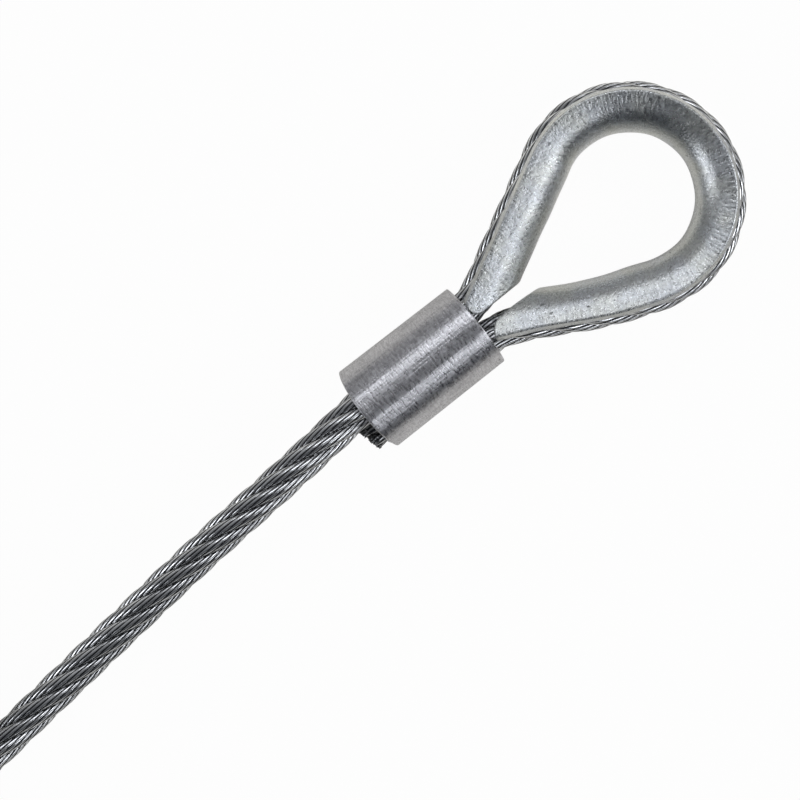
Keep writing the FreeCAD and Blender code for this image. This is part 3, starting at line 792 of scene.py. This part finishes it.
# ---- Materials ----
class Nodes:
    """A short way to add and link the shader nodes of a material or a world."""

    def __init__(self, owner):
        """Starts from an empty tree."""
        owner.use_nodes = True
        self.tree = owner.node_tree
        self.tree.nodes.clear()

    def add(self, kind, inputs=None, **settings):
        """A node. An input that is a socket is linked, and a number or colour is set on the node itself."""
        node = self.tree.nodes.new(kind)
        for key, value in settings.items():
            setattr(node, key, value)
        for key, value in (inputs or {}).items():
            if isinstance(value, bpy.types.NodeSocket):
                self.tree.links.new(value, node.inputs[key])
            else:
                node.inputs[key].default_value = value
        return node

    def noise(self, vector, scale, detail=3.0, roughness=0.55):
        """Smooth noise, mostly between 0.3 and 0.7."""
        settings = {"Vector": vector, "Scale": scale, "Detail": detail, "Roughness": roughness}
        return self.add("ShaderNodeTexNoise", settings).outputs["Fac"]

    def spread(self, value, low, high, to_low=0.0, to_high=1.0):
        """The value moved in proportion from low..high to to_low..to_high, and held there outside it."""
        settings = {"Value": value, "From Min": low, "From Max": high, "To Min": to_low, "To Max": to_high}
        return self.add("ShaderNodeMapRange", settings, clamp=True).outputs["Result"]

    def math(self, operation, first, second=0.0):
        """One sum on two values."""
        return self.add("ShaderNodeMath", {0: first, 1: second}, operation=operation).outputs[0]

    def total(self, *terms):
        """The sum of values, each times its weight."""
        parts = [self.math("MULTIPLY", value, weight) for value, weight in terms]
        added = parts[0]
        for part in parts[1:]:
            added = self.math("ADD", added, part)
        return added

    def blend(self, share, first, second):
        """The first colour where the share is 0 and the second where it is 1.

        A Mix node's colours are its inputs 6 and 7 and its output 2.
        """
        return self.add("ShaderNodeMix", {0: share, 6: first, 7: second}, data_type="RGBA").outputs[2]

    def scaled(self, vector, along, across):
        """UV coordinates times a scale along the piece and one across it."""
        return self.add("ShaderNodeMapping", {"Vector": vector, "Scale": (along, across, 1.0)}).outputs[0]

    def shade(self, name):
        """A value that the mesh holds for each point."""
        return self.add("ShaderNodeAttribute", attribute_name=name).outputs["Fac"]

    def metal(self, base, metallic, rough, height, depth, strength=0.9):
        """The finished metal, with bumps as high as the depth."""
        bump = self.add("ShaderNodeBump", {"Height": height, "Distance": depth, "Strength": strength})
        shader = self.add("ShaderNodeBsdfPrincipled", {"Base Color": base, "Metallic": metallic,
                                                       "Roughness": rough, "Normal": bump.outputs[0]})
        self.finish(shader)

    def finish(self, shader, kind="ShaderNodeOutputMaterial"):
        """The tree's last node."""
        self.add(kind, {"Surface": shader.outputs[0]})


def rgba(values, factor=1.0):
    """A colour times a factor, at most 1, with full alpha."""
    return (*(min(1.0, v * factor) for v in values), 1.0)


DULL_ZINC = (0.30, 0.31, 0.31)
ZINC_PIT = (0.09, 0.095, 0.10)
ALUMINIUM_PIT = (0.06, 0.06, 0.07)
PALE_GREY = (0.55, 0.55, 0.55)
WHITE = (1.0, 1.0, 1.0)


def zinc_material(finishes):
    """Zinc plating: mottled and speckled, with fine marks across the channel near its flanges."""
    material = bpy.data.materials.new("zinc plating")
    n = Nodes(material)
    place = n.add("ShaderNodeTexCoord")
    spot, uv = place.outputs["Object"], place.outputs["UV"]
    broad = n.noise(spot, 330.0, 2.0)
    tint = n.noise(spot, 210.0, 1.0)
    mottle = n.noise(spot, 1500.0, 4.0, 0.65)
    speckle = n.noise(spot, 3600.0, 2.0, 0.6)
    ripple = n.noise(n.scaled(uv, 3.0, 0.40), 1.0, 2.0, 0.6)
    pit = n.spread(n.noise(spot, 1150.0, 2.0, 0.4), 0.70, 0.78)
    shade = n.blend(n.spread(tint, 0.40, 0.60), rgba(finishes.zinc_cool), rgba(finishes.zinc))
    base = n.blend(n.spread(broad, 0.35, 0.65, 0.0, 0.14), shade, rgba(DULL_ZINC))
    darker = n.blend(0.6, base, rgba(finishes.zinc, 0.60))
    grain = n.blend(n.spread(n.total((mottle, 0.4), (speckle, 0.6)), 0.42, 0.60), darker, base)
    pitted = n.blend(n.math("MULTIPLY", pit, 0.7), grain, rgba(ZINC_PIT))
    rough = n.spread(mottle, 0.3, 0.7, 0.22, 0.34)
    marks = n.math("MULTIPLY", ripple, n.spread(n.shade("flange"), 0.0, 1.0, 0.2, 1.0))
    height = n.total((marks, 1.3), (mottle, 0.8), (speckle, 0.5), (pit, -0.7))
    n.metal(pitted, 0.98, rough, height, 0.00011)
    return material


def aluminium_material(finishes):
    """Pressed aluminium: satin, with feathery marks round the barrel, long die scratches and a few dents."""
    material = bpy.data.materials.new("pressed aluminium")
    n = Nodes(material)
    place = n.add("ShaderNodeTexCoord")
    spot, uv = place.outputs["Object"], place.outputs["UV"]
    feather = n.noise(n.scaled(uv, 2.8, 0.7), 1.0, 2.0, 0.6)
    streak = n.noise(n.scaled(uv, 0.16, 2.2), 1.0, 4.0, 0.6)
    broad = n.noise(spot, 260.0, 2.0)
    speckle = n.noise(spot, 2400.0, 3.0, 0.6)
    pit = n.spread(n.noise(spot, 900.0, 1.0, 0.4), 0.77, 0.81)
    metal = finishes.aluminium
    base = n.blend(n.spread(broad, 0.35, 0.65), rgba(metal, 0.92), rgba(metal, 1.06))
    # Each pattern's dark parts, up to its high value, take a share of a darker tone.
    for pattern, low, high, share, dark in (
            (speckle, 0.40, 0.62, 0.5, 0.58),
            (feather, 0.40, 0.56, 0.5, 0.52),
            (streak, 0.36, 0.44, 0.6, 0.50)):
        base = n.blend(n.spread(pattern, low, high), n.blend(share, base, rgba(metal, dark)), base)
    pitted = n.blend(n.math("MULTIPLY", pit, 0.85), base, rgba(ALUMINIUM_PIT))
    rough = n.spread(feather, 0.3, 0.7, 0.22, 0.36)
    height = n.total((feather, 0.8), (streak, 1.0), (speckle, 0.35), (pit, -0.8))
    n.metal(pitted, 1.0, rough, height, 0.00007)
    return material


def wire_material(title, bright, shade_and_grime, rough_low, rough_high):
    """Drawn wire: its own tone for each wire, fine draw marks along it, painted shade and grime in the
    grooves.
    """
    material = bpy.data.materials.get(title)
    if material:
        return material
    material = bpy.data.materials.new(title)
    n = Nodes(material)
    uv = n.add("ShaderNodeTexCoord").outputs["UV"]
    groove, tone = n.shade("groove"), n.shade("tone")
    marks = n.noise(n.scaled(uv, 0.5, 7.0), 1.0, 3.0)
    patches = n.noise(n.scaled(uv, 0.9, 1.6), 1.0, 3.0)
    light = n.total((tone, 0.6), (patches, 0.5))
    steel = n.blend(n.spread(light, 0.2, 0.9), rgba(bright), rgba(bright, 1.65))
    # Painted shade, with some grime, where the groove value is high: between the wires and inside the rope.
    shaded_and_grimy = n.blend(n.spread(groove, 0.10, 0.72), steel, rgba(shade_and_grime))
    rough = n.spread(n.total((marks, 1.0), (groove, 0.4)), 0.3, 1.0, rough_low, rough_high)
    n.metal(shaded_and_grimy, 0.95, rough, marks, 0.00001, 0.3)
    return material


def rope_material(finishes):
    """The rope's bright wire."""
    return wire_material("drawn steel wire", finishes.steel, finishes.groove_shade_and_grime, 0.12, 0.24)


def tie_material(finishes):
    """The dull wire of the seizing and the ties."""
    return wire_material("annealed wire", finishes.tie, finishes.groove_shade_and_grime, 0.38, 0.55)


def give(obj, material):
    """The material in the piece's only slot."""
    obj.data.materials.clear()
    obj.data.materials.append(material)


# ---- Operators ----
class ThimbleEyeSettings(PropertyGroup):
    rope: PointerProperty(type=RopeSizes, name="Rope", description="Sizes of the wire rope")
    thimble: PointerProperty(type=ThimbleSizes, name="Thimble", description="Sizes of the thimble")
    ferrule: PointerProperty(type=FerruleSizes, name="Ferrule", description="Sizes of the ferrule")
    coil: PointerProperty(type=CoilSizes, name="Coil", description="Sizes of the spare rope's coil")
    finishes: PointerProperty(type=Finishes, name="Finishes", description="Colours of the metals")


class THIMBLEEYE_OT_thimble(Operator):
    """The zinc-plated teardrop channel"""
    bl_idname = "thimbleeye.thimble"
    bl_label = "Thimble"

    def execute(self, context):
        settings = context.scene.thimble_eye
        give(make_thimble(settings.thimble), zinc_material(settings.finishes))
        return {"FINISHED"}


class THIMBLEEYE_OT_ferrule(Operator):
    """The pressed aluminium sleeve"""
    bl_idname = "thimbleeye.ferrule"
    bl_label = "Ferrule"

    def execute(self, context):
        settings = context.scene.thimble_eye
        give(make_ferrule(settings.ferrule), aluminium_material(settings.finishes))
        return {"FINISHED"}


class THIMBLEEYE_OT_held_rope(Operator):
    """The seven strands that run from the cut tail, round the thimble and into the ferrule"""
    bl_idname = "thimbleeye.held_rope"
    bl_label = "Held Rope"

    def execute(self, context):
        settings = context.scene.thimble_eye
        rope = settings.rope
        line = held_line(settings.thimble)
        places = even_places(run_lengths(line)[-1], rope.fine)
        core = rope_strand("held_core_strand", line, places, rope, None, 0.0, seed=20)
        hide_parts("eye_core_strand")
        pieces = [core]
        for number in range(6):
            strand = rope_strand(f"held_strand_{number + 1}", line, places, rope, number, rope.first_strand,
                                 seed=number + 1, start_shade_and_grime=0.35)
            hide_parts(f"eye_strand_{number + 1}")
            pieces.append(strand)
        pieces.append(cut_end("tail_wires", line, rope, rope.first_strand, at_start=True, seed=11,
                              stick_out=0.0008, splay=0.0003, slant=0.20))
        for piece in pieces:
            give(piece, rope_material(settings.finishes))
        return {"FINISHED"}


class THIMBLEEYE_OT_free_rope(Operator):
    """The free rope from the ferrule to its coil, with its seizing, its cut end and the coil's ties"""
    bl_idname = "thimbleeye.free_rope"
    bl_label = "Free Rope"

    def execute(self, context):
        settings = context.scene.thimble_eye
        rope, coil = settings.rope, settings.coil
        line = free_line(coil)
        total = run_lengths(line)[-1]
        seen = rope.fine_reach
        places = np.append(even_places(seen, rope.fine)[:-1], seen + even_places(total - seen, rope.coarse))
        pieces = [rope_strand(f"free_strand_{number + 1}", line, places, rope, number, rope.free_strand,
                              seed=number + 31) for number in range(6)]
        pieces.append(rope_strand("free_core_strand", line, places, rope, None, 0.0, seed=50))
        pieces.append(cut_end("free_end_wires", line, rope, rope.free_strand, at_start=False, seed=12,
                              stick_out=0.0002, splay=0.00004))
        for piece in pieces:
            give(piece, rope_material(settings.finishes))
        seizing = wound_wire("end_seizing_wire", seizing_line(line, rope, coil), coil.seizing_wire / 2)
        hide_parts("end_seizing")
        ties = [wound_wire(f"coil_tie_{k + 1}", tie_line(math.radians(spot), rope, coil), coil.tie_wire / 2)
                for k, spot in enumerate(TIE_SPOTS)]
        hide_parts("coil_ties")
        for piece in [seizing] + ties:
            give(piece, tie_material(settings.finishes))
        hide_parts("standing_rope", "rope_coil")
        return {"FINISHED"}


def seizing_line(line, rope, coil):
    """A close winding about the rope's end: its line plus an arm that turns once in a wire's thickness."""
    per_turn = 24
    total = run_lengths(line)[-1]
    turns = coil.seizing_length / coil.seizing_wire - 1
    steps = np.linspace(0.0, 1.0, round(turns * per_turn))
    first = total - coil.end_beyond - coil.seizing_length + coil.seizing_wire / 2
    centre = at_lengths(line, first + steps * (coil.seizing_length - coil.seizing_wire))
    side, rise = directions(centre)[1:]
    turn = (TURN * turns * steps)[:, None]
    reach = rope.diameter / 2 + coil.seizing_wire / 2
    return centre + (rise * np.cos(turn) + side * np.sin(turn)) * reach


def tie_line(where, rope, coil):
    """A tie's wire round the four turns: a rounded square, moved a wire's thickness along in each turn.

    The square's corners are arcs about the turns' centres. Its point at a share of its length lies on
    the arc or the straight side that has that share.
    """
    reach = rope.diameter / 2 + coil.tie_wire / 2
    half = coil.pitch / 2
    corner = math.pi / 2 * reach
    side = corner + coil.pitch
    around = 4 * side
    per_turn = 96
    steps = np.linspace(0.0, 1.0, per_turn * coil.tie_turns + 1)
    place = (steps * coil.tie_turns * around) % around
    quarter = np.floor(place / side)
    rest = place - quarter * side
    turn = np.minimum(rest, corner) / reach
    straight = np.maximum(rest - corner, 0.0)
    x = half + reach * np.cos(turn) - straight
    z = half + reach * np.sin(turn)
    spot = (x + 1j * z) * np.exp(1j * math.pi / 2 * quarter)
    radius = coil.radius + spot.real
    height = coil.low + half + spot.imag
    slide = (steps - 0.5) * coil.tie_wire * coil.tie_turns
    return np.stack([coil.centre_x + radius * math.cos(where) - slide * math.sin(where),
                     coil.centre_y + radius * math.sin(where) + slide * math.cos(where), height], -1)


class THIMBLEEYE_OT_stage(Operator):
    """The floor, the soft boxes, the world and the camera"""
    bl_idname = "thimbleeye.stage"
    bl_label = "Stage"

    def execute(self, context):
        make_floor()
        make_world(context.scene)
        make_lights()
        make_camera(context.scene)
        context.scene.view_settings.view_transform = "Standard"
        return {"FINISHED"}


def make_floor():
    """A wide flat sheet, white to the camera, pale grey to the light and darker in reflections.

    In reflections it glows by 0.25 along the rope and 0.16 beside the eye, and on the eye's +Y side by up to
    0.44 more, as a bench does that is lit from one side.
    """
    half, middle_x = 1.5, -0.09
    corners = np.array([(-half, -half), (half, -half), (half, half), (-half, half)])
    mesh = bpy.data.meshes.new("floor")
    mesh.from_pydata([(x + middle_x, y, FLOOR_HEIGHT) for x, y in corners], [], [(0, 1, 2, 3)])
    floor = bpy.data.objects.new("floor", mesh)
    bpy.context.scene.collection.objects.link(floor)
    material = bpy.data.materials.new("pale floor")
    n = Nodes(material)
    path = n.add("ShaderNodeLightPath").outputs
    clear = n.math("MAXIMUM", path["Is Camera Ray"], path["Is Transmission Ray"])
    spot = n.add("ShaderNodeTexCoord").outputs["Object"]
    place = n.add("ShaderNodeSeparateXYZ", {0: spot}).outputs
    eye_from, eye_to = -0.030, -0.016
    lit_side = n.math("MULTIPLY", n.spread(place["Y"], -0.006, 0.006),
                      n.spread(place["X"], eye_from, eye_to, 0.0, 0.44))
    shine = n.math("ADD", n.spread(place["X"], eye_from, eye_to, 0.25, 0.16), lit_side)
    shine = n.math("MULTIPLY", path["Is Glossy Ray"], shine)
    seen = n.math("MAXIMUM", n.math("MULTIPLY", clear, 0.97), shine)
    diffuse = n.add("ShaderNodeBsdfDiffuse", {"Color": (0.50, 0.495, 0.48, 1.0)})
    tint = n.blend(clear, (1.0, 0.985, 0.95, 1.0), rgba(WHITE))
    glow = n.add("ShaderNodeEmission", {"Color": tint, "Strength": 1.0})
    n.finish(n.add("ShaderNodeMixShader", {0: seen, 1: diffuse.outputs[0], 2: glow.outputs[0]}))
    give(floor, material)


def make_world(scene):
    """A pale room: white to the camera and plain grey for the light.

    Reflections see it dark on one side and brighter in proportion to the cosine towards the other side.
    """
    world = bpy.data.worlds.new("studio")
    scene.world = world
    n = Nodes(world)
    path = n.add("ShaderNodeLightPath").outputs
    direction = n.add("ShaderNodeTexCoord").outputs["Generated"]
    towards = n.add("ShaderNodeVectorMath", {0: direction, 1: (0.55, 0.835, 0.0)}, operation="DOT_PRODUCT")
    bright_side = n.spread(towards.outputs["Value"], -0.6, 1.0)
    room = n.blend(bright_side, (0.022, 0.026, 0.034, 1.0), (0.30, 0.305, 0.32, 1.0))
    lit = n.blend(path["Is Glossy Ray"], rgba(PALE_GREY), room)
    shown = n.blend(path["Is Camera Ray"], lit, rgba(WHITE))
    n.finish(n.add("ShaderNodeBackground", {"Color": shown, "Strength": 1.0}), "ShaderNodeOutputWorld")


SOFT_BOX_COLOUR = (0.92, 0.945, 1.0)
SOFT_BOX_AIM = np.array([-0.02, 0.0, 0.0])
SOFT_BOXES = [
    # name, azimuth from +X towards +Y, degrees from straight up, distance, width across, width along, watts
    ("upper_left_box", 68.0, 29.0, 0.47, 0.165, 0.25, 0.34),
    ("lower_right_box", 288.0, 41.0, 0.47, 0.140, 0.27, 0.31),
    ("left_box", 159.0, 62.0, 0.80, 0.32, 0.34, 1.05),
    ("right_box", 328.0, 60.0, 0.80, 0.30, 0.46, 2.0),
]


def make_lights():
    """Soft boxes that face the eye, each with its long side level."""
    for name, azimuth, down, distance, across, along, power in SOFT_BOXES:
        lamp = bpy.data.lights.new(name, "AREA")
        lamp.shape = "RECTANGLE"
        lamp.size, lamp.size_y = along, across
        lamp.energy = power
        lamp.color = SOFT_BOX_COLOUR
        a, d = math.radians(azimuth), math.radians(down)
        back = np.array([math.cos(a) * math.sin(d), math.sin(a) * math.sin(d), math.cos(d)])
        side = unit(np.cross(UP, back))
        holder = bpy.data.objects.new(name, lamp)
        bpy.context.scene.collection.objects.link(holder)
        holder.location = SOFT_BOX_AIM + back * distance
        holder.rotation_euler = Matrix((side, np.cross(back, side), back)).transposed().to_euler()


def make_camera(scene):
    """A long lens straight above, turned so that the eye's axis points up and to the right.

    Level with the eye's middle it sees a square with sides of the width.
    """
    distance, width, turned = 1.0, 0.13333, -38.70
    camera = bpy.data.cameras.new("camera")
    camera.sensor_width = 36.0
    camera.lens = camera.sensor_width * distance / width
    camera.clip_start, camera.clip_end = 0.05, 10.0
    holder = bpy.data.objects.new("camera", camera)
    scene.collection.objects.link(holder)
    holder.location = (-0.05096, -0.00241, distance)
    holder.rotation_euler = (0.0, 0.0, math.radians(turned))
    scene.camera = holder


class THIMBLEEYE_PT_panel(Panel):
    """Buttons for each piece, and the sizes and colours"""
    bl_idname = "THIMBLEEYE_PT_panel"
    bl_label = "Thimble Eye"
    bl_space_type = "VIEW_3D"
    bl_region_type = "UI"
    bl_category = "Rigging"

    def draw(self, context):
        """A button for each operator, and a box for each group of sizes."""
        for operator in OPERATORS:
            self.layout.operator(operator.bl_idname)
        settings = context.scene.thimble_eye
        for group in (settings.rope, settings.thimble, settings.ferrule, settings.coil, settings.finishes):
            box = self.layout.box()
            for name in group.__annotations__:
                box.prop(group, name)


OPERATORS = (THIMBLEEYE_OT_thimble, THIMBLEEYE_OT_ferrule, THIMBLEEYE_OT_held_rope, THIMBLEEYE_OT_free_rope,
             THIMBLEEYE_OT_stage)
CLASSES = (RopeSizes, ThimbleSizes, FerruleSizes, CoilSizes, Finishes, ThimbleEyeSettings, *OPERATORS,
           THIMBLEEYE_PT_panel)


def register():
    """Adds the classes, and the sizes and colours to the scene."""
    for cls in CLASSES:
        bpy.utils.register_class(cls)
    bpy.types.Scene.thimble_eye = PointerProperty(type=ThimbleEyeSettings)


def unregister():
    """Takes them away again."""
    del bpy.types.Scene.thimble_eye
    for cls in reversed(CLASSES):
        bpy.utils.unregister_class(cls)


def main():
    register()
    bpy.ops.thimbleeye.stage()
    bpy.ops.thimbleeye.free_rope()
    bpy.ops.thimbleeye.held_rope()
    bpy.ops.thimbleeye.thimble()
    bpy.ops.thimbleeye.ferrule()


if __name__ == "__main__":
    main()
